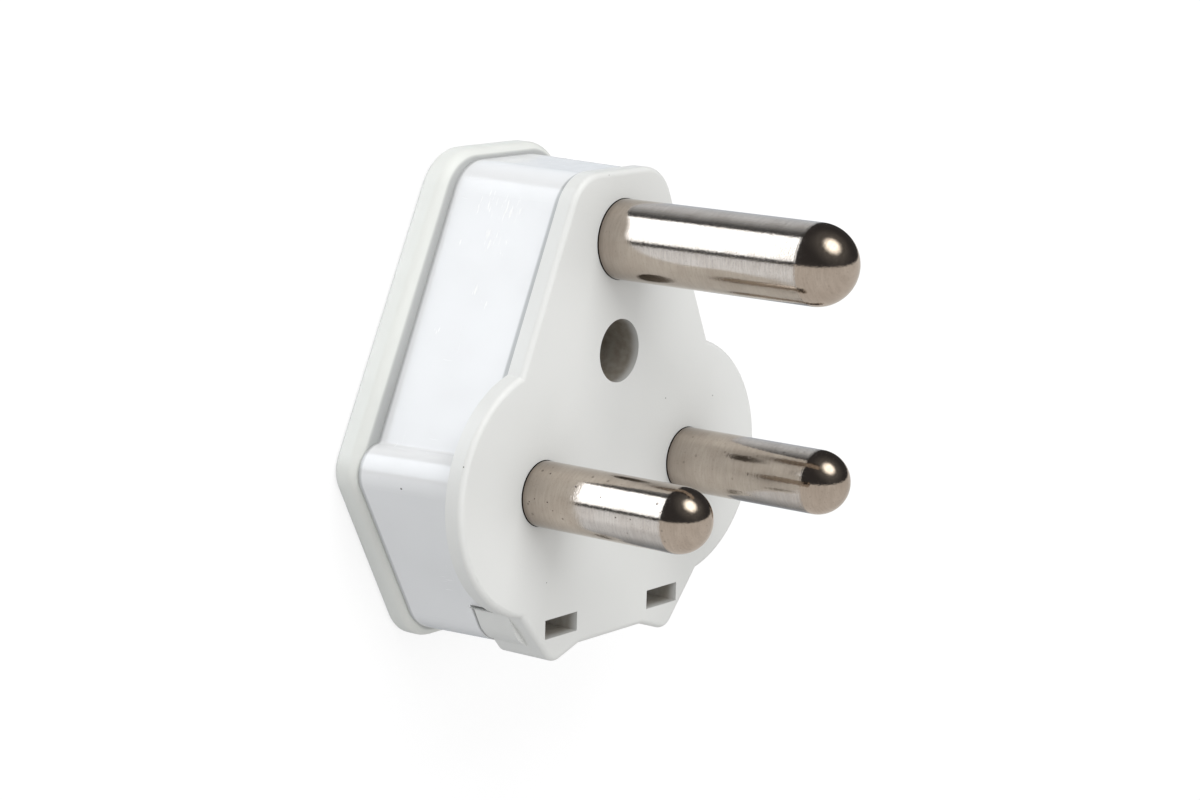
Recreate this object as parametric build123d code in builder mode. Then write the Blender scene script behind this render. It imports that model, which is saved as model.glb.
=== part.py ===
from build123d import *
import os

os.makedirs("parts", exist_ok=True)

# Plug top with three round pins, lying on its back with the pins up.
# +Z is the way the pins point and +Y the way of the earth pin. The origin is
# the middle of the outline on the back of the cover. Millimetres.
# Heights h are measured from the line through the two small pins, and depths d
# from the face that the pins stand on.

# Pins
pin_pitch = 25.4
earth_height = 25.8
earth_r = 4.355
line_r = 3.53
earth_length = 29.4
line_length = 21.3
earth_head_r = 4.9
line_head_r = 4.7
head_length = 8.6
head_chamfer = 0.5
wire_hole_r = 1.9
wire_hole_up = 3.6
pin_fit = 0.05
neck_relief = 0.25
neck_out = 0.15

# Body depths
depth = 19.8
plate_t = 2.1
flange_t = 3.4
back_t = 2.2
wall = 2.0
clearance = 0.2

# Face plate outline
face_top = earth_height + 7.4
face_top_half = 7.3
face_waist = (20.98, 2.8)
face_kink = (16.2, -12.4)
face_foot_low = (10.2, -19.2)
face_foot_inner = (5.6, -17.7)
face_corner_r = 5.0
foot_low_r = 2.0
foot_inner_r = 0.9
lobe_r = 13.4
face_edge_r = 0.6

# Ears and latch windows
ear_depth = 6.8
ear_top = -12.9
window_w = 5.5
window_h = 2.1
window_x = 9.0
window_y = -15.05
tongue_t = 1.3
tongue_short = 4.2
tongue_root = 2.6

# Cover outline where it meets the plate, and where it meets the flange
front_top = (6.9, earth_height + 7.1)
front_neck = (19.9, 4.5)
front_shoulder = (24.5, 3.7)
front_foot = (13.2, -17.4)
rear_top = (7.3, earth_height + 7.4)
rear_neck = (20.3, 4.2)
rear_shoulder = (25.0, 3.4)
rear_foot = (13.5, -17.7)
cover_top_r = 5.0
cover_neck_r = 0.5
cover_shoulder_r = 3.0
cover_foot_r = 4.5
seam_chamfer = 0.3

# Flange outline
flange_top = (8.6, earth_height + 8.6)
flange_shoulder = (24.2, 1.0)
flange_foot = (13.4, -18.9)
flange_top_r = 6.0
flange_shoulder_r = 4.0
flange_foot_r = 5.0
flange_front_edge_r = 1.3
flange_rear_edge_r = 0.9

# Bosses, lip and cover screw
boss_r = 7.2
boss_depth = 4.0
lip_t = 1.4
lip_depth = 2.0
well_height = 13.7
well_r = 3.45
well_step = 6.6
head_seat_r = 3.25
well_depth = 9.0
well_wall = 1.5
well_floor = 2.0
screw_r = 1.75
screw_head_r = 3.1
screw_head_t = 2.2
screw_hole_r = 2.0
nut_r = 2.9
nut_t = 4.0
slot_w = 0.9
slot_depth = 0.9

# Terminal screws and hold-down rings
terminal_screw_r = 1.9
terminal_screw_length = 3.4
terminal_screw_out = 0.6
ring_r = 4.2
ring_bore_r = 2.6

# Cord inlet and clamp
inlet_r = 4.2
inlet_depth = 8.0
clamp_x = 7.0
clamp_y = -10.6
clamp_post_r = 2.6
clamp_top = 10.4
clamp_t = 2.2
clamp_w = 5.0
clamp_end_r = 2.4
clamp_screw_r = 1.3
clamp_screw_hole_r = 1.45
clamp_screw_head_r = 2.3
clamp_screw_head_t = 1.6
clamp_screw_length = 5.0
cradle_t = 2.4

# Placing
pin_line = -(flange_top[1] + flange_foot[1]) / 2
pin_x = pin_pitch / 2
head_start = plate_t + boss_depth
head_end = head_start + head_length
well_end = well_depth + well_floor
cavity_end = depth - back_t
flange_front = depth - flange_t


def up(h):
    """Y of a height h above the line through the two small pins."""
    return pin_line + h


def back(d):
    """Z of a depth d behind the face that the pins stand on."""
    return depth - d


def at(point):
    """The point (half width, height) in the frame of the part."""
    return (point[0], up(point[1]))


def left(point):
    """The mirror image of at(point)."""
    return (-point[0], up(point[1]))


def cover_sketch(top, neck, shoulder, foot, inset=0.0):
    """Filleted outline of the cover, moved inwards by inset."""
    right = [at(top), at(neck), at(shoulder), at(foot)]
    mirrored = [left(foot), left(shoulder), left(neck), left(top)]
    radii = [cover_top_r, cover_neck_r, cover_shoulder_r, cover_foot_r]
    with BuildSketch() as outline:
        with BuildLine():
            FilletPolyline(*right, *mirrored, radius=radii + radii[::-1], close=True)
        make_face()
        if inset:
            offset(amount=-inset)
    return outline.sketch


def front_sketch(inset=0.0):
    """Cover outline against the face plate."""
    return cover_sketch(front_top, front_neck, front_shoulder, front_foot, inset)


def rear_sketch(inset=0.0):
    """Cover outline against the flange."""
    return cover_sketch(rear_top, rear_neck, rear_shoulder, rear_foot, inset)


# Outline of the face plate: tapered top, two round lobes and two feet
with BuildSketch() as face_outline:
    face_right = [(face_top_half, face_top), face_waist, face_kink, face_foot_low, face_foot_inner]
    face_radii = [face_corner_r, 0, 0, foot_low_r, foot_inner_r]
    with BuildLine():
        FilletPolyline(
            *[at(p) for p in face_right], *[left(p) for p in face_right[::-1]],
            radius=face_radii + face_radii[::-1], close=True,
        )
    make_face()
    with Locations(at((pin_x, 0)), left((pin_x, 0))):
        Circle(lobe_r)

front_outer = front_sketch()
rear_outer = rear_sketch()
front_hollow = front_sketch(wall)
rear_hollow = rear_sketch(wall)
lip_outer = front_sketch(wall + clearance)
lip_inner = front_sketch(wall + clearance + lip_t)

# Front moulding: face plate, ears with latch windows, pin bosses, screw well
# and cord cradle
with BuildPart() as pin_base:
    with BuildSketch(Plane.XY.offset(back(plate_t))):
        add(face_outline.sketch)
    extrude(amount=plate_t)
    fillet(pin_base.faces().sort_by(Axis.Z)[-1].outer_wire().edges(), face_edge_r)
    # Ears that wrap the lower corners of the cover
    with BuildSketch(Plane.XY.offset(back(ear_depth))) as ears:
        add(face_outline.sketch)
        add(front_outer)
        with Locations((0, up(ear_top))):
            Rectangle(4 * lobe_r, 4 * lobe_r, align=(Align.CENTER, Align.MIN), mode=Mode.SUBTRACT)
        with Locations((0, up(ear_top))):
            Rectangle(2 * face_foot_inner[0], 4 * lobe_r, align=(Align.CENTER, Align.MAX), mode=Mode.SUBTRACT)
    extrude(amount=ear_depth - plate_t)
    # Pin bosses
    with BuildSketch(Plane.XY.offset(back(head_start))) as bosses:
        with Locations(at((pin_x, 0)), left((pin_x, 0)), at((0, earth_height))):
            Circle(boss_r)
        add(lip_outer, mode=Mode.INTERSECT)
    extrude(amount=boss_depth)
    # Locating lip inside the cover
    with BuildSketch(Plane.XY.offset(back(plate_t + lip_depth))) as lip:
        add(lip_outer)
        add(lip_inner, mode=Mode.SUBTRACT)
        with Locations((0, up(ear_top))):
            Rectangle(4 * lobe_r, 4 * lobe_r, align=(Align.CENTER, Align.MAX), mode=Mode.SUBTRACT)
    extrude(amount=lip_depth)
    # Screw well and clamp posts
    with BuildSketch(Plane.XY.offset(back(well_end))) as well:
        with Locations(at((0, well_height))):
            Circle(well_r + well_wall)
    extrude(amount=well_end - plate_t)
    with BuildSketch(Plane.XY.offset(back(clamp_top))) as posts:
        with Locations(at((clamp_x, clamp_y)), left((clamp_x, clamp_y))):
            Circle(clamp_post_r)
    extrude(amount=clamp_top - plate_t)
    # Cradle under the cord, between the posts
    with BuildSketch(Plane.XZ.offset(-up(clamp_y) - cradle_t / 2)) as cradle:
        with Locations((0, back(inlet_depth))):
            Rectangle(2 * clamp_x, inlet_depth - plate_t, align=(Align.CENTER, Align.MIN))
        with Locations((0, back(inlet_depth))):
            Circle(inlet_r, mode=Mode.SUBTRACT)
    extrude(amount=cradle_t)
    # Bores and windows
    with Locations(Plane.XY.offset(back(0))):
        with Locations(at((pin_x, 0)), left((pin_x, 0))):
            Hole(line_r + pin_fit, head_start)
        with Locations(at((0, earth_height))):
            Hole(earth_r + pin_fit, head_start)
        with Locations(at((0, well_height))):
            CounterBoreHole(screw_hole_r, head_seat_r, well_depth, well_end)
            Hole(well_r, well_step)
    with BuildSketch(Plane.XY.offset(back(ear_depth))) as windows:
        with Locations(at((window_x, window_y)), left((window_x, window_y))):
            Rectangle(window_w, window_h)
    extrude(amount=ear_depth, mode=Mode.SUBTRACT)
    with BuildSketch(Plane.XY.offset(back(clamp_top))) as pilots:
        with Locations(at((clamp_x, clamp_y)), left((clamp_x, clamp_y))):
            Circle(clamp_screw_r + pin_fit)
    extrude(amount=clamp_screw_length + clearance, mode=Mode.SUBTRACT)
pin_base.part.label = "pin_base"
export_step(pin_base.part, "parts/pin_base.step")

# Rear moulding: body with a fine bevel at the seam, grip flange, screw post,
# hold-down rings, latch tongues and the inlet for the cord
with BuildPart() as rear_cover:
    with BuildSketch(Plane.XY.offset(back(plate_t))):
        add(front_outer)
    with BuildSketch(Plane.XY.offset(back(flange_front))):
        add(rear_outer)
    loft(ruled=True)
    chamfer(rear_cover.faces().sort_by(Axis.Z)[-1].outer_wire().edges(), seam_chamfer)
    with BuildSketch(Plane.XY) as flange:
        with BuildLine():
            outline_right = [at(flange_top), at(flange_shoulder), at(flange_foot)]
            outline_left = [left(flange_foot), left(flange_shoulder), left(flange_top)]
            flange_radii = [flange_top_r, flange_shoulder_r, flange_foot_r]
            FilletPolyline(*outline_right, *outline_left, radius=flange_radii + flange_radii[::-1], close=True)
        make_face()
    flange_body = extrude(amount=flange_t, mode=Mode.PRIVATE)
    flange_body = flange_body.fillet(flange_front_edge_r, flange_body.faces().sort_by(Axis.Z)[-1].edges())
    flange_body = flange_body.fillet(flange_rear_edge_r, flange_body.faces().sort_by(Axis.Z)[0].edges())
    add(flange_body)
    # Hollow inside
    with BuildSketch(Plane.XY.offset(back(plate_t))):
        add(front_hollow)
    with BuildSketch(Plane.XY.offset(back(flange_front))):
        add(rear_hollow)
    loft(ruled=True, mode=Mode.SUBTRACT)
    with BuildSketch(Plane.XY.offset(back(cavity_end))):
        add(rear_hollow)
    extrude(amount=cavity_end - flange_front, mode=Mode.SUBTRACT)
    # Room for the ears
    with BuildSketch(Plane.XY.offset(back(ear_depth + clearance))) as pocket:
        for side in (-1, 1):
            with Locations((side * (face_foot_inner[0] - clearance), up(ear_top + clearance))):
                corner = Align.MAX if side < 0 else Align.MIN
                Rectangle(lobe_r, lobe_r, align=(corner, Align.MAX))
    extrude(amount=ear_depth + clearance, mode=Mode.SUBTRACT)
    # Latch tongues in the windows of the ears
    with BuildSketch(Plane.XY.offset(back(tongue_short))) as tongues:
        with Locations(at((window_x, window_y)), left((window_x, window_y))):
            Rectangle(window_w - 2 * clearance, tongue_t)
    extrude(amount=tongue_short - ear_depth - tongue_root)
    with BuildSketch(Plane.XY.offset(back(ear_depth + tongue_root))) as roots:
        with Locations(at((window_x, window_y - tongue_t / 2)), left((window_x, window_y - tongue_t / 2))):
            Rectangle(window_w - 2 * clearance, 2 * tongue_t)
    extrude(amount=tongue_root - clearance)
    # Screw post and hold-down rings
    with BuildSketch(Plane.XY.offset(back(cavity_end))) as post:
        with Locations(at((0, well_height))):
            Circle(well_r + well_wall)
    extrude(amount=cavity_end - well_end)
    with BuildSketch(Plane.XY.offset(back(cavity_end))) as rings:
        with Locations(at((pin_x, 0)), left((pin_x, 0)), at((0, earth_height))):
            Circle(ring_r)
            Circle(ring_bore_r, mode=Mode.SUBTRACT)
    extrude(amount=cavity_end - head_end)
    # Seat of the threaded insert, and the inlet
    with BuildSketch(Plane.XY.offset(back(well_end + nut_t))) as seat:
        with Locations(at((0, well_height))):
            Circle(nut_r + pin_fit)
    extrude(amount=nut_t, mode=Mode.SUBTRACT)
    with BuildSketch(Plane.XZ.offset(-up(clamp_y))) as inlet:
        with Locations((0, back(inlet_depth))):
            Circle(inlet_r)
    extrude(amount=lobe_r, mode=Mode.SUBTRACT)
rear_cover.part.label = "rear_cover"
export_step(rear_cover.part, "parts/rear_cover.step")


def turned_pin(x, height, r, length, head_r, name):
    """Pin with a round tip, a relieved neck in its boss and a terminal head behind."""
    y = up(height)
    with BuildPart() as pin:
        with BuildSketch(Plane(origin=(x, y, 0), x_dir=(1, 0, 0), z_dir=(0, -1, 0))):
            with BuildLine():
                Polyline(
                    (0, back(-length)), (0, back(head_end)), (head_r - head_chamfer, back(head_end)),
                    (head_r, back(head_end - head_chamfer)), (head_r, back(head_start)),
                    (r - neck_relief, back(head_start)), (r - neck_relief, back(-neck_out)),
                    (r, back(-neck_out)), (r, back(r - length)),
                )
                CenterArc((0, back(r - length)), r, 0, 90)
            make_face()
        revolve(axis=Axis((x, y, 0), (0, 0, 1)))
        with Locations(Location((x, y, back(head_start + wire_hole_up)), (90, 0, 0))):
            Cylinder(wire_hole_r, 4 * head_r, mode=Mode.SUBTRACT)
        with Locations(Location((x, y, back(head_end)))):
            Cylinder(terminal_screw_r + pin_fit, head_length - wire_hole_up,
                     align=(Align.CENTER, Align.CENTER, Align.MIN), mode=Mode.SUBTRACT)
    pin.part.label = name
    export_step(pin.part, "parts/" + name + ".step")
    return pin.part


def slotted_screw(x, height, d_end, length, r, head_r, head_t, name, up_sign):
    """Slotted screw: the shank runs from d_end, and the head stands at that end."""
    y = up(height)
    axis_plane = Plane(origin=(x, y, back(d_end)), x_dir=(1, 0, 0), z_dir=(0, 0, up_sign))
    with BuildPart() as screw:
        with BuildSketch(axis_plane):
            Circle(r)
        extrude(amount=-length)
        if head_t:
            with BuildSketch(axis_plane):
                Circle(head_r)
            extrude(amount=head_t)
        with BuildSketch(axis_plane.offset(head_t)):
            Rectangle(4 * head_r, slot_w)
        extrude(amount=-slot_depth, mode=Mode.SUBTRACT)
    screw.part.label = name
    export_step(screw.part, "parts/" + name + ".step")
    return screw.part


earth_pin = turned_pin(0, earth_height, earth_r, earth_length, earth_head_r, "earth_pin")
live_pin = turned_pin(-pin_x, 0, line_r, line_length, line_head_r, "live_pin")
neutral_pin = turned_pin(pin_x, 0, line_r, line_length, line_head_r, "neutral_pin")

# Terminal screws, driven from the back of the heads
terminal_d = head_end + terminal_screw_out
terminal_args = (terminal_d, terminal_screw_length + terminal_screw_out, terminal_screw_r, terminal_screw_r, 0)
earth_terminal_screw = slotted_screw(0, earth_height, *terminal_args, "earth_terminal_screw", -1)
live_terminal_screw = slotted_screw(-pin_x, 0, *terminal_args, "live_terminal_screw", -1)
neutral_terminal_screw = slotted_screw(pin_x, 0, *terminal_args, "neutral_terminal_screw", -1)

# Cover screw at the bottom of the well, and the threaded insert it bites in
cover_screw = slotted_screw(
    0, well_height, well_depth, well_floor + nut_t, screw_r, screw_head_r, screw_head_t, "cover_screw", 1
)
with BuildPart() as cover_nut:
    with BuildSketch(Plane.XY.offset(back(well_end + nut_t))):
        with Locations(at((0, well_height))):
            Circle(nut_r)
            Circle(screw_r + pin_fit, mode=Mode.SUBTRACT)
    extrude(amount=nut_t)
cover_nut.part.label = "cover_nut"
export_step(cover_nut.part, "parts/cover_nut.step")

# Bar that holds the cord down on the cradle, and its two screws
with BuildPart() as cord_clamp:
    with BuildSketch(Plane.XY.offset(back(clamp_top + clamp_t))):
        with Locations(at((0, clamp_y))):
            RectangleRounded(2 * clamp_x + clamp_w, clamp_w, clamp_end_r)
        with Locations(at((clamp_x, clamp_y)), left((clamp_x, clamp_y))):
            Circle(clamp_screw_hole_r, mode=Mode.SUBTRACT)
    extrude(amount=clamp_t)
cord_clamp.part.label = "cord_clamp"
export_step(cord_clamp.part, "parts/cord_clamp.step")

clamp_args = (
    clamp_top + clamp_t, clamp_t + clamp_screw_length, clamp_screw_r, clamp_screw_head_r, clamp_screw_head_t
)
clamp_screw_left = slotted_screw(-clamp_x, clamp_y, *clamp_args, "clamp_screw_left", -1)
clamp_screw_right = slotted_screw(clamp_x, clamp_y, *clamp_args, "clamp_screw_right", -1)
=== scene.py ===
import logging
import math
from dataclasses import dataclass, field
from enum import Enum
from typing import Any, Callable, Sequence

import bpy
import numpy as np
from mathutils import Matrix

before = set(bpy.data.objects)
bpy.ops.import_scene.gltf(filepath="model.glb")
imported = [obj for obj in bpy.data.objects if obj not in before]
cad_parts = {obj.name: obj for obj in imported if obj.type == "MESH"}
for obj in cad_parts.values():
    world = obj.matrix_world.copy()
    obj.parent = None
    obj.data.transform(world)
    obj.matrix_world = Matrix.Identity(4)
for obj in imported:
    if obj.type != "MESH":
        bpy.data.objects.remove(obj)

LOG = logging.getLogger("plug_top")

Colour = tuple[float, float, float]
MM = 0.001

PLASTIC_IOR = 1.5
FACE_Z = 19.8
EARTH_DOME_Z = 44.845
LINE_DOME_Z = 37.57

SPECK_BLACK: Colour = (0.05, 0.045, 0.04)
SCUFF_WHITE: Colour = (0.93, 0.93, 0.92)
DUST_BROWN: Colour = (0.22, 0.18, 0.15)
RING_BROWN: Colour = (0.34, 0.295, 0.25)
LINE_BROWN: Colour = (0.20, 0.17, 0.15)
# Colour of the painted shade at the foot of each pin.
PAINTED_FOOT_SHADE: Colour = (0.16, 0.13, 0.11)
PIT_BROWN: Colour = (0.09, 0.07, 0.06)


class Surface(Enum):
    """Named finishes that the pieces of the plug are made in."""

    BASE = "base_moulding"
    COVER = "cover_moulding"
    CLAMP = "clamp_moulding"
    EARTH_PIN = "earth_pin_nickel"
    LIVE_PIN = "live_pin_nickel"
    NEUTRAL_PIN = "neutral_pin_nickel"
    SCREW = "zinc_screw"
    INSERT = "turned_brass"


@dataclass(frozen=True)
class Mark:
    """Middle and radius of a small blemish, in millimetres."""

    x: float
    y: float
    z: float
    radius: float


class Graph:
    """A small typed wrapper round a material's node tree."""

    def __init__(self, name: str) -> None:
        """Makes a material with an empty tree.

        Args:
            name: the material's name.
        """
        self.material: bpy.types.Material = bpy.data.materials.new(name)
        self.material.use_nodes = True
        self.tree: bpy.types.NodeTree = self.material.node_tree
        self.tree.nodes.clear()
        self.coords: bpy.types.Node = self.add("ShaderNodeTexCoord")

    def add(self, kind: str, **settings: Any) -> bpy.types.Node:
        """Adds a node and sets its properties.

        Args:
            kind: the node's Blender type.
            settings: property names and their values.

        Returns:
            The new node.
        """
        node = self.tree.nodes.new(kind)
        for key, value in settings.items():
            setattr(node, key, value)
        return node

    def feed(self, socket: bpy.types.NodeSocket, value: Any) -> None:
        """Links an output to the socket, or writes a plain value on it.

        Args:
            socket: the input to fill.
            value: an output socket, a number or a tuple.
        """
        if isinstance(value, bpy.types.NodeSocket):
            self.tree.links.new(value, socket)
        else:
            socket.default_value = value

    def maths(self, operation: str, *values: Any, clamp: bool = False) -> bpy.types.NodeSocket:
        """One arithmetic step.

        Args:
            operation: the Math node's operation.
            values: numbers or outputs, in the node's order.
            clamp: True to hold the result between 0 and 1.

        Returns:
            The result's output.
        """
        node = self.add("ShaderNodeMath", operation=operation, use_clamp=clamp)
        for socket, value in zip(node.inputs, values):
            self.feed(socket, value)
        return node.outputs[0]

    def remap(self, value: Any, low: float, high: float, to_low: float = 0.0,
              to_high: float = 1.0) -> bpy.types.NodeSocket:
        """Smooth clamped remap of a value from one range to another.

        Args:
            value: the output to remap.
            low: where the result is to_low.
            high: where the result is to_high.
            to_low: result at low.
            to_high: result at high.

        Returns:
            The remapped output.
        """
        node = self.add("ShaderNodeMapRange", interpolation_type="SMOOTHSTEP")
        self.feed(node.inputs["Value"], value)
        limits = {"From Min": low, "From Max": high, "To Min": to_low, "To Max": to_high}
        for key, number in limits.items():
            node.inputs[key].default_value = number
        return node.outputs["Result"]

    def position(self) -> tuple[bpy.types.NodeSocket, bpy.types.NodeSocket, bpy.types.NodeSocket]:
        """Place of the shaded point in Object coordinates.

        Returns:
            Its X, Y and Z, in metres.
        """
        split = self.add("ShaderNodeSeparateXYZ")
        self.feed(split.inputs[0], self.coords.outputs["Object"])
        return split.outputs[0], split.outputs[1], split.outputs[2]

    def stretched(self, scale: Sequence[float],
                  turn: Sequence[float] = (0.0, 0.0, 0.0)) -> bpy.types.NodeSocket:
        """Object coordinates turned and scaled by axis.

        Args:
            scale: the scale along X, Y and Z.
            turn: the rotation in degrees about X, Y and Z.

        Returns:
            The mapped vector.
        """
        node = self.add("ShaderNodeMapping", vector_type="POINT")
        self.feed(node.inputs["Vector"], self.coords.outputs["Object"])
        node.inputs["Scale"].default_value = scale
        node.inputs["Rotation"].default_value = [math.radians(a) for a in turn]
        return node.outputs[0]

    def noise(self, scale: float, detail: float = 3.0, vector: Any = None,
              rough: float = 0.5) -> bpy.types.NodeSocket:
        """Fractal noise between about 0 and 1.

        Args:
            scale: features per metre.
            detail: number of octaves.
            vector: the coordinates, or None for plain Object coordinates.
            rough: share of each finer octave.

        Returns:
            The noise's factor.
        """
        node = self.add("ShaderNodeTexNoise")
        plain = self.coords.outputs["Object"]
        self.feed(node.inputs["Vector"], plain if vector is None else vector)
        node.inputs["Scale"].default_value = scale
        node.inputs["Detail"].default_value = detail
        node.inputs["Roughness"].default_value = rough
        return node.outputs["Fac"]

    def blend(self, factor: Any, first: Any, second: Any) -> bpy.types.NodeSocket:
        """Mixes two colours.

        Args:
            factor: 0 for the first, 1 for the second.
            first: a colour or an output.
            second: a colour or an output.

        Returns:
            The mixed colour.
        """
        node = self.add("ShaderNodeMix", data_type="RGBA")
        self.feed(node.inputs[0], factor)
        for socket, value in ((node.inputs[6], first), (node.inputs[7], second)):
            self.feed(socket, value if isinstance(value, bpy.types.NodeSocket) else (*value, 1.0))
        return node.outputs[2]

    def relief(self, height: Any, depth: float, strength: float = 1.0,
               under: Any = None) -> bpy.types.NodeSocket:
        """Bump from a height between 0 and 1.

        Args:
            height: the height's output.
            depth: real height of the relief, in metres.
            strength: share of the bump that shows.
            under: a normal to stack this one on, or None.

        Returns:
            The bumped normal.
        """
        node = self.add("ShaderNodeBump")
        node.inputs["Distance"].default_value = depth
        node.inputs["Strength"].default_value = strength
        self.feed(node.inputs["Height"], height)
        if under is not None:
            self.feed(node.inputs["Normal"], under)
        return node.outputs["Normal"]

    def spots(self, places: Sequence[Mark], wobble: Any) -> Any:
        """1 inside small soft balls round the given marks, and 0 elsewhere.

        A ball's edge lies where the distance from its middle plus a wobble from
        noise passes its radius.

        Args:
            places: the marks.
            wobble: noise output added to the distance.

        Returns:
            The mask's output, or 0 where there are no marks.
        """
        total: Any = 0.0
        for mark in places:
            gap = self.add("ShaderNodeVectorMath", operation="DISTANCE")
            self.feed(gap.inputs[0], self.coords.outputs["Object"])
            gap.inputs[1].default_value = (mark.x * MM, mark.y * MM, mark.z * MM)
            radius = mark.radius * MM
            uneven = self.maths("ADD", gap.outputs["Value"], self.maths("MULTIPLY", wobble, radius))
            total = self.maths("MAXIMUM", total, self.remap(uneven, 1.6 * radius, 0.9 * radius))
        return total

    def principled(self, sockets: dict[str, Any]) -> bpy.types.Material:
        """Ends the tree in a Principled shader.

        Args:
            sockets: names of its inputs and what feeds them.

        Returns:
            The finished material.
        """
        shader = self.add("ShaderNodeBsdfPrincipled")
        for key, value in sockets.items():
            self.feed(shader.inputs[key], value)
        out = self.add("ShaderNodeOutputMaterial")
        self.tree.links.new(shader.outputs[0], out.inputs["Surface"])
        return self.material


@dataclass(frozen=True)
class Moulding:
    """Injection-moulded thermoplastic with a fine spark-eroded grain.

    The colour drifts a little over some 15 mm, the gloss over some 4 mm, and hair
    scratches and soft rubbed patches lie where the plug has been handled.
    """

    name: str
    colour: Colour
    shade: Colour
    roughness: float
    gloss_drift: float
    grain_depth: float
    scratch: float
    specks: tuple[Mark, ...] = ()

    def body(self, g: Graph) -> tuple[Any, Any, Any]:
        """Colour, roughness and normal of the plain moulded surface.

        Args:
            g: the graph to build in.

        Returns:
            The three outputs, in that order.
        """
        drift = g.remap(g.noise(65.0, 2.0), 0.35, 0.65)
        fleck = g.remap(g.noise(2600.0, 2.0), 0.66, 0.78)
        colour = g.blend(g.maths("MULTIPLY", drift, 0.75), self.colour, self.shade)
        colour = g.blend(g.maths("MULTIPLY", fleck, 0.10), colour, tuple(0.82 * c for c in self.shade))
        gloss = g.remap(g.noise(240.0, 3.0), 0.3, 0.7, self.roughness - self.gloss_drift,
                        self.roughness + self.gloss_drift)
        hair_a = g.noise(1.0, 2.0, g.stretched((5200.0, 420.0, 300.0), (12.0, 0.0, 31.0)))
        hair_b = g.noise(1.0, 2.0, g.stretched((380.0, 260.0, 4600.0), (38.0, 17.0, 0.0)))
        hairs = g.maths("ADD", g.remap(hair_a, 0.70, 0.80), g.remap(hair_b, 0.71, 0.81), clamp=True)
        patch = g.remap(g.noise(120.0, 2.0), 0.48, 0.66)
        worn = g.maths("MULTIPLY", g.maths("MULTIPLY", hairs, patch), self.scratch)
        gloss = g.maths("ADD", gloss, g.maths("MULTIPLY", worn, 0.22))
        grain = g.noise(3400.0, 2.0)
        sink = g.noise(95.0, 1.0)
        normal = g.relief(sink, 0.00006, 0.6)
        normal = g.relief(grain, self.grain_depth, 0.7, normal)
        normal = g.relief(g.maths("SUBTRACT", 1.0, worn), 0.000006, 0.8, normal)
        if self.specks:
            colour = g.blend(g.spots(self.specks, g.noise(4000.0, 2.0)), colour, SPECK_BLACK)
        return colour, gloss, normal

    def build(self) -> bpy.types.Material:
        """Makes the material of one even moulding.

        Returns:
            The material.
        """
        g = Graph(self.name)
        colour, gloss, normal = self.body(g)
        return g.principled({
            "Base Color": colour, "Roughness": gloss, "Normal": normal,
            "Specular IOR Level": 0.45, "IOR": PLASTIC_IOR,
        })


@dataclass(frozen=True)
class BaseMoulding(Moulding):
    """The satin face plate, with painted shade inside its screw well and latch windows."""

    well: tuple[float, float, float] = (0.0, 5.95, 3.55)
    windows: tuple[float, float, float, float] = (9.0, -22.8, 2.9, 1.2)
    face_z: float = FACE_Z
    # Colour of the painted shade inside the screw well and the latch windows.
    painted_recess_shade: Colour = (0.30, 0.265, 0.215)

    def build(self) -> bpy.types.Material:
        """Makes the material of the face plate and what is moulded on it.

        Returns:
            The material.
        """
        g = Graph(self.name)
        colour, gloss, normal = self.body(g)
        x, y, z = g.position()
        middle_x, middle_y, reach = (value * MM for value in self.well)
        from_axis = g.maths("SQRT", g.maths("ADD", g.maths("POWER", g.maths("SUBTRACT", x, middle_x), 2.0),
                                            g.maths("POWER", g.maths("SUBTRACT", y, middle_y), 2.0)))
        in_well = g.remap(from_axis, reach + 0.06 * MM, reach - 0.02 * MM)
        window_x, window_y, half_x, half_y = (value * MM for value in self.windows)
        off_x = g.maths("ABSOLUTE", g.maths("SUBTRACT", g.maths("ABSOLUTE", x), window_x))
        off_y = g.maths("ABSOLUTE", g.maths("SUBTRACT", y, window_y))
        in_window = g.maths("MULTIPLY", g.maths("LESS_THAN", off_x, half_x),
                            g.maths("LESS_THAN", off_y, half_y))
        below = g.remap(z, (self.face_z - 0.05) * MM, (self.face_z - 1.4) * MM)
        shade_mottle = g.remap(g.noise(900.0, 3.0), 0.25, 0.75, 0.75, 1.0)
        # Painted shade: below the face, the screw well and the latch windows are darkened with a mottled dark
        # colour that stands in for the shade in these recesses.
        recess_shade_mask = g.maths("MULTIPLY", g.maths("MAXIMUM", in_well, g.maths("MULTIPLY", in_window, 0.8)), below)
        colour = g.blend(g.maths("MULTIPLY", recess_shade_mask, shade_mottle), colour, self.painted_recess_shade)
        return g.principled({
            "Base Color": colour, "Roughness": gloss, "Normal": normal,
            "Specular IOR Level": 0.45, "IOR": PLASTIC_IOR,
        })


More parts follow.
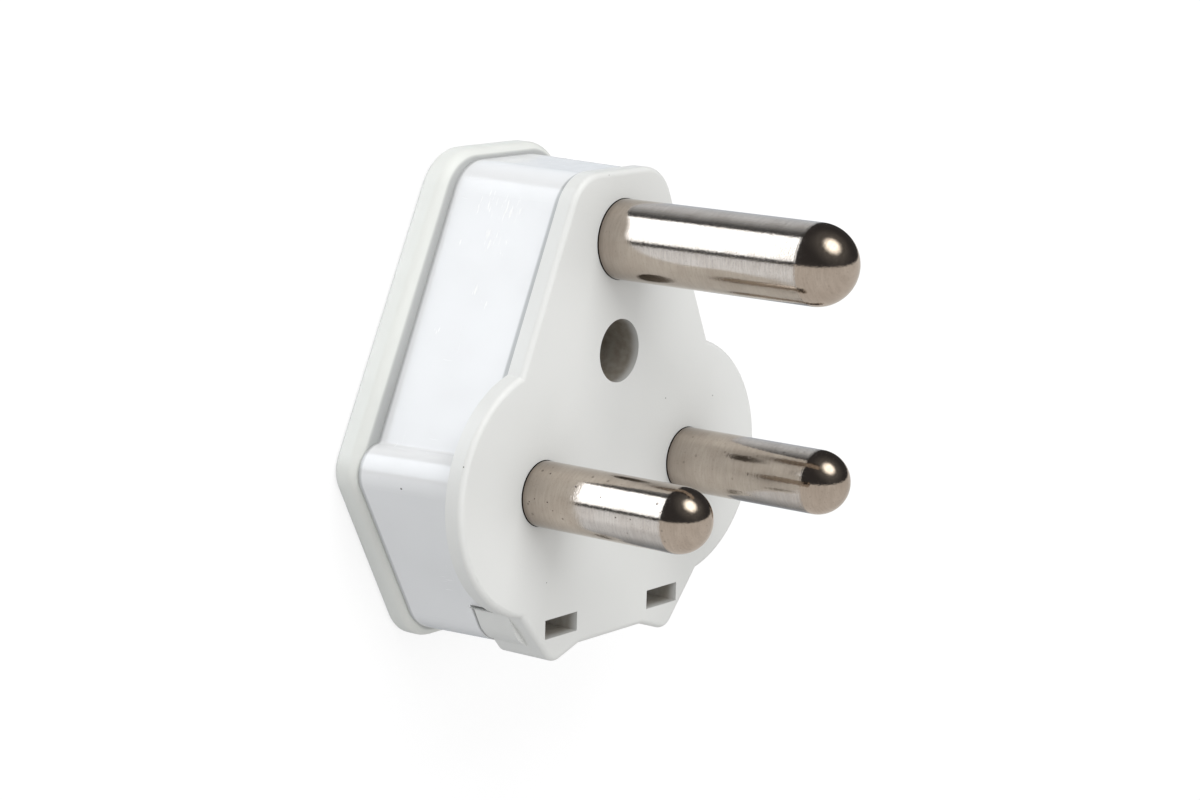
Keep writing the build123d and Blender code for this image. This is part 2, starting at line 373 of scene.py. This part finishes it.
@dataclass(frozen=True)
class CoverMoulding(Moulding):
    """The glossy cover, whose grip flange is satin and warmer.

    The flange lies below flange_z. Painted grey shade lines the corner above it,
    and a painted shadow lines the seam below the face plate. White scuffs lie on
    the upper flank, and small black specks on the lower one.
    """

    flange_colour: Colour = (0.76, 0.775, 0.745)
    flange_roughness: float = 0.46
    flange_z: float = 3.4 * MM
    seam_z: float = 17.7 * MM
    # Colour of the painted shade in the flange corner and of the painted shadow at the seam.
    painted_joint_shade: Colour = (0.30, 0.31, 0.31)
    scuffs: tuple[Mark, ...] = ()

    def build(self) -> bpy.types.Material:
        """Makes the material of the cover and its flange.

        Returns:
            The material.
        """
        g = Graph(self.name)
        colour, gloss, normal = self.body(g)
        height = g.position()[2]
        on_flange = g.remap(height, self.flange_z + 0.15 * MM, self.flange_z - 0.15 * MM)
        hairs = g.stretched((900.0, 500.0, 3000.0), (0.0, 25.0, 65.0))
        streaks = g.remap(g.noise(1.0, 3.0, hairs), 0.55, 0.68)
        rub = g.maths("MULTIPLY", g.spots(self.scuffs, g.noise(800.0, 3.0)), streaks)
        colour = g.blend(g.maths("MULTIPLY", rub, 0.8), colour, SCUFF_WHITE)
        colour = g.blend(on_flange, colour, self.flange_colour)
        # Painted shade: a grey band in the corner just above the flange.
        corner = g.maths(
            "MULTIPLY", g.remap(height, self.flange_z + 0.50 * MM, self.flange_z + 0.10 * MM),
            g.remap(height, self.flange_z - 0.20 * MM, self.flange_z - 0.02 * MM),
        )
        colour = g.blend(g.maths("MULTIPLY", corner, 0.65), colour, self.painted_joint_shade)
        # Painted shadow: a grey band just below the seam with the face plate.
        seam = g.remap(height, self.seam_z - 0.95 * MM, self.seam_z - 0.60 * MM)
        colour = g.blend(g.maths("MULTIPLY", seam, 0.70), colour, self.painted_joint_shade)
        gloss = g.maths("ADD", gloss, g.maths("MULTIPLY", rub, 0.25))
        gloss = g.maths("ADD", gloss, g.maths("MULTIPLY", on_flange, self.flange_roughness - self.roughness))
        return g.principled({
            "Base Color": colour, "Roughness": gloss, "Normal": normal,
            "Specular IOR Level": 0.5, "IOR": PLASTIC_IOR, "Coat Weight": 0.08, "Coat Roughness": 0.12,
        })


@dataclass(frozen=True)
class NickelPlate:
    """Nickel over turned brass, with a fine dapple that breaks up what it mirrors.

    Faint rings run round the pin, a thin line marks where the dome starts, and
    small brown pits lie along the shank, which painted shade darkens towards its foot.
    """

    name: str
    dome_z: float
    foot_z: float
    pits: float
    specks: tuple[Mark, ...] = ()
    colour: Colour = (0.560, 0.490, 0.425)
    tint: Colour = (0.480, 0.410, 0.350)
    roughness: float = 0.095
    dapple_depth: float = 0.0085 * MM

    def build(self) -> bpy.types.Material:
        """Makes the material of one pin.

        Returns:
            The material.
        """
        g = Graph(self.name)
        z = g.position()[2]
        dapple = g.noise(4600.0, 2.0, None, 0.6)
        waves = g.noise(900.0, 2.0, g.stretched((1.0, 1.0, 0.45)))
        rings = g.noise(1.0, 3.0, g.stretched((500.0, 500.0, 4200.0)), 0.6)
        cloud = g.remap(g.noise(420.0, 4.0), 0.32, 0.70)
        dust = g.remap(g.noise(5200.0, 2.0), 0.60, 0.74)
        line = g.maths("MULTIPLY", g.remap(z, (self.dome_z - 0.16) * MM, (self.dome_z - 0.03) * MM),
                       g.remap(z, (self.dome_z + 0.13) * MM, self.dome_z * MM))
        colour = g.blend(g.maths("MULTIPLY", cloud, 0.75), self.colour, self.tint)
        colour = g.blend(g.remap(rings, 0.36, 0.66, 0.0, 0.24), colour, RING_BROWN)
        colour = g.blend(g.maths("MULTIPLY", dust, 0.30), colour, DUST_BROWN)
        colour = g.blend(g.maths("MULTIPLY", line, 0.12), colour, LINE_BROWN)
        cell = g.add("ShaderNodeTexVoronoi", feature="F1")
        g.feed(cell.inputs["Vector"], g.coords.outputs["Object"])
        cell.inputs["Scale"].default_value = 1100.0
        dot = g.remap(cell.outputs["Distance"], 0.22, 0.12)
        pick = g.remap(cell.outputs["Color"], 0.70, 0.74)
        pit = g.maths("MULTIPLY", g.maths("MULTIPLY", dot, pick), self.pits)
        if self.specks:
            pit = g.maths("MAXIMUM", pit, g.spots(self.specks, g.noise(6000.0, 2.0)))
        # Painted shade: the shank darkens over its last 5 mm towards the face plate, most in the last 0.9 mm.
        foot = g.remap(z, (self.foot_z + 0.9) * MM, (self.foot_z + 0.1) * MM)
        near = g.remap(z, (self.foot_z + 5.0) * MM, (self.foot_z + 0.5) * MM)
        shade = g.maths("ADD", g.maths("MULTIPLY", foot, 0.32), g.maths("MULTIPLY", near, 0.26))
        colour = g.blend(shade, colour, PAINTED_FOOT_SHADE)
        colour = g.blend(g.maths("MULTIPLY", pit, 0.85), colour, PIT_BROWN)
        gloss = g.remap(dapple, 0.3, 0.7, self.roughness - 0.03, self.roughness + 0.04)
        gloss = g.maths("ADD", gloss, g.maths("MULTIPLY", cloud, 0.03))
        gloss = g.maths("ADD", gloss, g.maths("MULTIPLY", pit, 0.25))
        normal = g.relief(waves, 0.0000015, 0.6)
        normal = g.relief(rings, 0.0000015, 0.7, normal)
        normal = g.relief(dapple, self.dapple_depth, 0.8, normal)
        sunk = g.maths("ADD", pit, g.maths("MULTIPLY", line, 0.2))
        normal = g.relief(g.maths("SUBTRACT", 1.0, sunk), 0.00002, 0.7, normal)
        return g.principled({
            "Base Color": colour, "Metallic": 1.0, "Roughness": gloss, "Normal": normal,
        })


@dataclass(frozen=True)
class TurnedMetal:
    """Plain turned metal with tool rings and a light tarnish."""

    name: str
    colour: Colour
    tarnish: Colour
    roughness: float

    def build(self) -> bpy.types.Material:
        """Makes the material of a screw or an insert.

        Returns:
            The material.
        """
        g = Graph(self.name)
        rings = g.noise(1.0, 3.0, g.stretched((120.0, 120.0, 4200.0)), 0.6)
        stain = g.remap(g.noise(700.0, 3.0), 0.42, 0.68)
        colour = g.blend(g.maths("MULTIPLY", stain, 0.6), self.colour, self.tarnish)
        gloss = g.remap(rings, 0.3, 0.7, self.roughness - 0.07, self.roughness + 0.10)
        normal = g.relief(rings, 0.000004, 0.8)
        return g.principled({
            "Base Color": colour, "Metallic": 1.0, "Roughness": gloss, "Normal": normal,
        })


@dataclass
class Finishes:
    """All finishes of the plug, each made once."""

    made: dict[Surface, bpy.types.Material] = field(default_factory=dict)

    def get(self, surface: Surface) -> bpy.types.Material:
        """The material of a surface, built when it is first asked for.

        Args:
            surface: which finish.

        Returns:
            The material.
        """
        if surface not in self.made:
            self.made[surface] = self.recipe(surface).build()
        return self.made[surface]

    def recipe(self, surface: Surface) -> Any:
        """The description of a finish.

        Args:
            surface: which finish.

        Returns:
            A finish object with a build method.
        """
        if surface is Surface.BASE:
            return BaseMoulding(
                surface.value, (0.745, 0.752, 0.738), (0.715, 0.722, 0.705), 0.40, 0.05, 0.000010, 0.35,
                specks=(
                    Mark(8.7, -0.4, FACE_Z, 0.09), Mark(17.6, -1.3, FACE_Z, 0.09),
                    Mark(-11.7, -17.6, FACE_Z, 0.08),
                    Mark(-25.2, -3.1, 19.3, 0.10), Mark(-2.6, 25.1, 19.75, 0.07), Mark(3.4, 5.5, 17.85, 0.10),
                ),
            )
        if surface is Surface.COVER:
            return CoverMoulding(
                surface.value, (0.800, 0.808, 0.818), (0.776, 0.785, 0.795), 0.20, 0.05, 0.000003, 0.9,
                scuffs=(
                    Mark(-8.9, 21.4, 8.6, 1.9), Mark(-8.8, 21.4, 11.4, 1.9), Mark(-10.5, 17.9, 10.1, 1.4),
                    Mark(-10.7, 17.2, 12.4, 1.0), Mark(-10.8, 17.4, 6.7, 0.7), Mark(-12.8, 12.8, 10.2, 0.8),
                    Mark(-13.4, 11.4, 11.8, 0.6), Mark(-14.9, 8.2, 7.1, 0.8),
                ),
                specks=(
                    Mark(-17.8, 2.7, 3.5, 0.10), Mark(-23.1, -7.3, 9.1, 0.16), Mark(-15.1, -22.7, 3.0, 0.09),
                ),
            )
        if surface is Surface.CLAMP:
            return Moulding(
                surface.value, (0.70, 0.71, 0.69), (0.66, 0.67, 0.65), 0.45, 0.05, 0.000012, 0.2,
            )
        if surface is Surface.EARTH_PIN:
            return NickelPlate(surface.value, EARTH_DOME_Z, FACE_Z, 0.0)
        if surface is Surface.LIVE_PIN:
            return NickelPlate(
                surface.value, LINE_DOME_Z, FACE_Z, 0.6,
                specks=(
                    Mark(-14.8, -4.9, 22.4, 0.11), Mark(-16.2, -7.6, 23.2, 0.10), Mark(-16.2, -7.9, 20.8, 0.09),
                    Mark(-16.2, -7.5, 21.5, 0.08), Mark(-16.2, -8.4, 23.9, 0.09), Mark(-16.2, -7.8, 32.1, 0.11),
                    Mark(-15.8, -6.1, 29.8, 0.08), Mark(-16.2, -7.7, 34.0, 0.08), Mark(-15.9, -9.3, 33.4, 0.09),
                    Mark(-16.2, -7.3, 36.6, 0.07),
                ),
            )
        if surface is Surface.NEUTRAL_PIN:
            return NickelPlate(surface.value, LINE_DOME_Z, FACE_Z, 0.35)
        if surface is Surface.SCREW:
            return TurnedMetal(surface.value, (0.55, 0.54, 0.52), (0.38, 0.36, 0.33), 0.32)
        return TurnedMetal(surface.value, (0.72, 0.55, 0.28), (0.50, 0.36, 0.17), 0.28)


@dataclass
class Dresser:
    """Puts a finish on the solids of one sub-assembly."""

    title: str
    pieces: dict[str, Surface]

    def dress(self, nodes: dict[str, bpy.types.Object], finishes: Finishes) -> None:
        """Fills each solid's only material slot.

        Args:
            nodes: the plug's solids by name.
            finishes: where the materials come from.
        """
        for name, surface in self.pieces.items():
            mesh = nodes[name].data
            mesh.materials.clear()
            mesh.materials.append(finishes.get(surface))
            LOG.info("%s: %s in %s", self.title, name, surface.value)


def body_parts() -> list[Dresser]:
    """The plug's sub-assemblies, from the outside in.

    Returns:
        One dresser for each.
    """
    return [
        Dresser("housing", {"pin_base": Surface.BASE, "rear_cover": Surface.COVER}),
        Dresser("pins", {
            "earth_pin": Surface.EARTH_PIN, "live_pin": Surface.LIVE_PIN,
            "neutral_pin": Surface.NEUTRAL_PIN,
        }),
        Dresser("terminals", {
            "earth_terminal_screw": Surface.SCREW, "live_terminal_screw": Surface.SCREW,
            "neutral_terminal_screw": Surface.SCREW,
        }),
        Dresser("closing screw", {"cover_screw": Surface.SCREW, "cover_nut": Surface.INSERT}),
        Dresser("cord grip", {
            "cord_clamp": Surface.CLAMP, "clamp_screw_left": Surface.SCREW,
            "clamp_screw_right": Surface.SCREW,
        }),
    ]


def surface_mesh(name: str, shape: Callable[[np.ndarray, np.ndarray], np.ndarray],
                 steps: tuple[int, int]) -> bpy.types.Object:
    """An open surface from a function of two parameters between 0 and 1.

    Args:
        name: the object's name.
        shape: takes grids u and v and gives points as an array with X, Y, Z last.
        steps: number of faces along u and along v.

    Returns:
        The linked object, at the origin.
    """
    along = [np.linspace(0.0, 1.0, count + 1) for count in steps]
    u, v = np.meshgrid(*along, indexing="ij")
    points = shape(u, v).reshape(-1, 3)
    row = steps[1] + 1
    corner = (np.arange(steps[0])[:, None] * row + np.arange(steps[1])[None, :]).reshape(-1)
    quads = np.stack([corner, corner + row, corner + row + 1, corner + 1], axis=1)
    mesh = bpy.data.meshes.new(name)
    mesh.from_pydata(points.tolist(), [], quads.tolist())
    mesh.update()
    made = bpy.data.objects.new(name, mesh)
    bpy.context.scene.collection.objects.link(made)
    return made


@dataclass(frozen=True)
class Softbox:
    """A rectangular lamp: its place in metres, its size, its power and its colour."""

    name: str
    place: tuple[float, float, float]
    size: tuple[float, float]
    watts: float
    colour: Colour = (1.0, 1.0, 1.0)


CARDS: tuple[tuple[float, float], ...] = (
    (0, 0.55), (20, 0.70), (50, 0.85), (62, 0.70), (76, 0.42), (88, 0.14), (99, 0.10), (103, 3.0),
    (118, 3.4), (150, 3.3), (165, 2.6), (170, 2.1), (173, 0.10), (181, 0.10), (184, 1.0), (200, 1.12),
    (216, 1.15), (232, 0.90), (258, 0.80), (278, 0.50), (300, 0.28), (330, 0.40), (350, 0.5),
)
CARD_TINT: Colour = (0.95, 1.03, 1.12)

SOFTBOXES = (
    Softbox("overhead_softbox", (-0.15, 0.55, 0.42), (0.60, 0.40), 2.7),
    Softbox("front_softbox", (-0.05, 0.05, 0.80), (0.50, 0.50), 2.25),
    Softbox("side_softbox", (-0.70, 0.15, 0.15), (0.40, 0.30), 0.29, (1.0, 0.99, 0.975)),
)


@dataclass
class Studio:
    """Pale floor, soft light, a room that only reflections see, and the camera."""

    floor_half: float = 1.6
    floor_shade: float = 0.30
    floor_glow: float = 1.12
    room_radius: float = 2.0
    middle: tuple[float, float, float] = (0.0, 0.0, 0.02)
    glow_way: tuple[float, float, float] = (0.066, 0.787, 0.613)
    sky_level: float = 0.55
    camera_place: tuple[float, float, float] = (-0.273657, 0.065430, 0.225612)
    camera_turn: tuple[float, float, float] = (-12.6931, -52.4184, 2.4621)
    camera_lens: float = 97.044

    def floor(self) -> bpy.types.Object:
        """The floor that the plug lies on: the flat sheet x = (2u - 1) h, y = (2v - 1) h, z = 0.

        Returns:
            The floor, linked to the scene.
        """
        half = self.floor_half
        sheet = surface_mesh(
            "floor", lambda u, v: np.stack([(2 * u - 1) * half, (2 * v - 1) * half, 0 * u], axis=-1), (4, 4),
        )
        g = Graph("floor_paper")
        paper = g.add("ShaderNodeBsdfDiffuse")
        paper.inputs["Color"].default_value = (0.86, 0.86, 0.86, 1.0)
        lit = g.add("ShaderNodeEmission")
        lit.inputs["Color"].default_value = (1.0, 1.0, 1.0, 1.0)
        lit.inputs["Strength"].default_value = self.floor_glow
        seen = g.add("ShaderNodeMixShader")
        seen.inputs[0].default_value = self.floor_shade
        g.tree.links.new(lit.outputs[0], seen.inputs[1])
        g.tree.links.new(paper.outputs[0], seen.inputs[2])
        path = g.add("ShaderNodeLightPath")
        out = g.add("ShaderNodeMixShader")
        g.tree.links.new(path.outputs["Is Camera Ray"], out.inputs[0])
        g.tree.links.new(paper.outputs[0], out.inputs[1])
        g.tree.links.new(seen.outputs[0], out.inputs[2])
        end = g.add("ShaderNodeOutputMaterial")
        g.tree.links.new(out.outputs[0], end.inputs["Surface"])
        sheet.data.materials.append(g.material)
        sheet.visible_glossy = False
        return sheet

    def room(self) -> bpy.types.Object:
        """The room that the metal mirrors.

        It is the sphere x = r cos(e) cos(a), y = r cos(e) sin(a), z = r sin(e), with
        a from 0 to 360 degrees along u and e from -90 to 90 degrees along v. Low
        down, its brightness follows the angle a through pale and dark cards. Higher
        up it is dark on the side of +Y and pale on the other, with one soft glow.

        Returns:
            The room, seen by reflections only.
        """
        radius = self.room_radius
        turn = 2.0 * math.pi

        def sphere(u: np.ndarray, v: np.ndarray) -> np.ndarray:
            """The sphere in the words above.

            Args:
                u: share of the turn round Z.
                v: share of the way from the lowest to the highest point.

            Returns:
                The points, with X, Y and Z last.
            """
            lift = (v - 0.5) * math.pi
            flat = np.cos(lift)
            return radius * np.stack([flat * np.cos(turn * u), flat * np.sin(turn * u), np.sin(lift)], axis=-1)

        shell = surface_mesh("mirror_room", sphere, (96, 48))
        g = Graph("room_cards")
        x, y, z = g.position()
        turned = g.maths("DIVIDE", g.maths("ARCTAN2", y, x), turn)
        angle = g.maths("FRACT", g.maths("ADD", turned, 1.0))
        ramp = g.add("ShaderNodeValToRGB")
        g.feed(ramp.inputs[0], angle)
        ramp.color_ramp.interpolation = "LINEAR"
        while len(ramp.color_ramp.elements) < len(CARDS):
            ramp.color_ramp.elements.new(0.5)
        for element, (degrees, level) in zip(ramp.color_ramp.elements, CARDS):
            element.position = degrees / 360.0
            element.color = (*(tint * level for tint in CARD_TINT), 1.0)
        toward = g.add("ShaderNodeVectorMath", operation="DISTANCE")
        g.feed(toward.inputs[0], g.coords.outputs["Object"])
        toward.inputs[1].default_value = tuple(radius * value for value in self.glow_way)
        core = g.remap(toward.outputs["Value"], 0.46 * radius, 0.16 * radius, 0.0, 2.5)
        wide = g.remap(toward.outputs["Value"], 1.00 * radius, 0.35 * radius, 0.0, 0.10)
        glow = g.maths("ADD", core, wide)
        side = g.remap(y, -0.01 * radius, 0.05 * radius)
        above = g.blend(side, (0.72, 0.69, 0.655), (0.050, 0.048, 0.049))
        lit = g.add("ShaderNodeMix", data_type="RGBA", blend_type="ADD")
        lit.inputs[0].default_value = 1.0
        g.feed(lit.inputs[6], above)
        halo = g.add("ShaderNodeCombineXYZ")
        for socket, share in zip(halo.inputs, (1.0, 0.97, 0.90)):
            g.feed(socket, g.maths("MULTIPLY", glow, share))
        g.feed(lit.inputs[7], halo.outputs[0])
        high = g.remap(z, -0.5225 * radius, -0.492 * radius)
        seen = g.blend(high, ramp.outputs[0], lit.outputs[2])
        shine = g.add("ShaderNodeEmission")
        g.feed(shine.inputs["Color"], seen)
        end = g.add("ShaderNodeOutputMaterial")
        g.tree.links.new(shine.outputs[0], end.inputs["Surface"])
        g.material.cycles.emission_sampling = "NONE"
        shell.data.materials.append(g.material)
        for ray in ("camera", "diffuse", "shadow", "transmission", "volume_scatter"):
            setattr(shell, f"visible_{ray}", False)
        return shell

    def lamp(self, box: Softbox) -> bpy.types.Object:
        """One soft area lamp that faces the middle of the plug.

        Args:
            box: the lamp's description.

        Returns:
            The linked lamp.
        """
        data = bpy.data.lights.new(box.name, "AREA")
        data.shape = "RECTANGLE"
        data.size, data.size_y = box.size
        data.energy = box.watts
        data.color = box.colour
        lamp = bpy.data.objects.new(box.name, data)
        bpy.context.scene.collection.objects.link(lamp)
        lamp.location = box.place
        lamp.visible_glossy = False
        way = np.array(self.middle, float) - np.array(box.place, float)
        flat = math.hypot(way[0], way[1])
        lamp.rotation_euler = (math.atan2(flat, -way[2]), 0.0, math.atan2(-way[0], way[1]))
        return lamp

    def world(self) -> None:
        """An even pale sky: white to the camera, dimmer as light, and hidden from mirrors."""
        world = bpy.data.worlds.new("studio_sky")
        bpy.context.scene.world = world
        world.use_nodes = True
        nodes, links = world.node_tree.nodes, world.node_tree.links
        nodes.clear()
        path = nodes.new("ShaderNodeLightPath")
        level = nodes.new("ShaderNodeMapRange")
        level.inputs["To Min"].default_value = self.sky_level
        level.inputs["To Max"].default_value = 1.0
        links.new(path.outputs["Is Camera Ray"], level.inputs["Value"])
        sky = nodes.new("ShaderNodeBackground")
        links.new(level.outputs[0], sky.inputs["Strength"])
        out = nodes.new("ShaderNodeOutputWorld")
        links.new(sky.outputs[0], out.inputs["Surface"])
        world.cycles_visibility.glossy = False

    def camera(self) -> bpy.types.Object:
        """The camera at the photograph's place, with no shift and no blur.

        Returns:
            The linked camera.
        """
        data = bpy.data.cameras.new("camera")
        data.sensor_width = 36.0
        data.lens = self.camera_lens
        data.clip_start = 0.01
        data.clip_end = 20.0
        camera = bpy.data.objects.new("camera", data)
        bpy.context.scene.collection.objects.link(camera)
        camera.location = self.camera_place
        camera.rotation_euler = tuple(math.radians(a) for a in self.camera_turn)
        bpy.context.scene.camera = camera
        return camera

    def build(self) -> None:
        """Sets the whole stage."""
        self.floor()
        self.room()
        self.world()
        for box in SOFTBOXES:
            self.lamp(box)
        self.camera()
        bpy.context.scene.view_settings.view_transform = "Standard"


def main() -> None:
    logging.basicConfig(level=logging.INFO, format="%(name)s: %(message)s")
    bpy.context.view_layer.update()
    finishes = Finishes()
    for part in body_parts():
        part.dress(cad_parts, finishes)
    Studio().build()


if __name__ == "__main__":
    main()
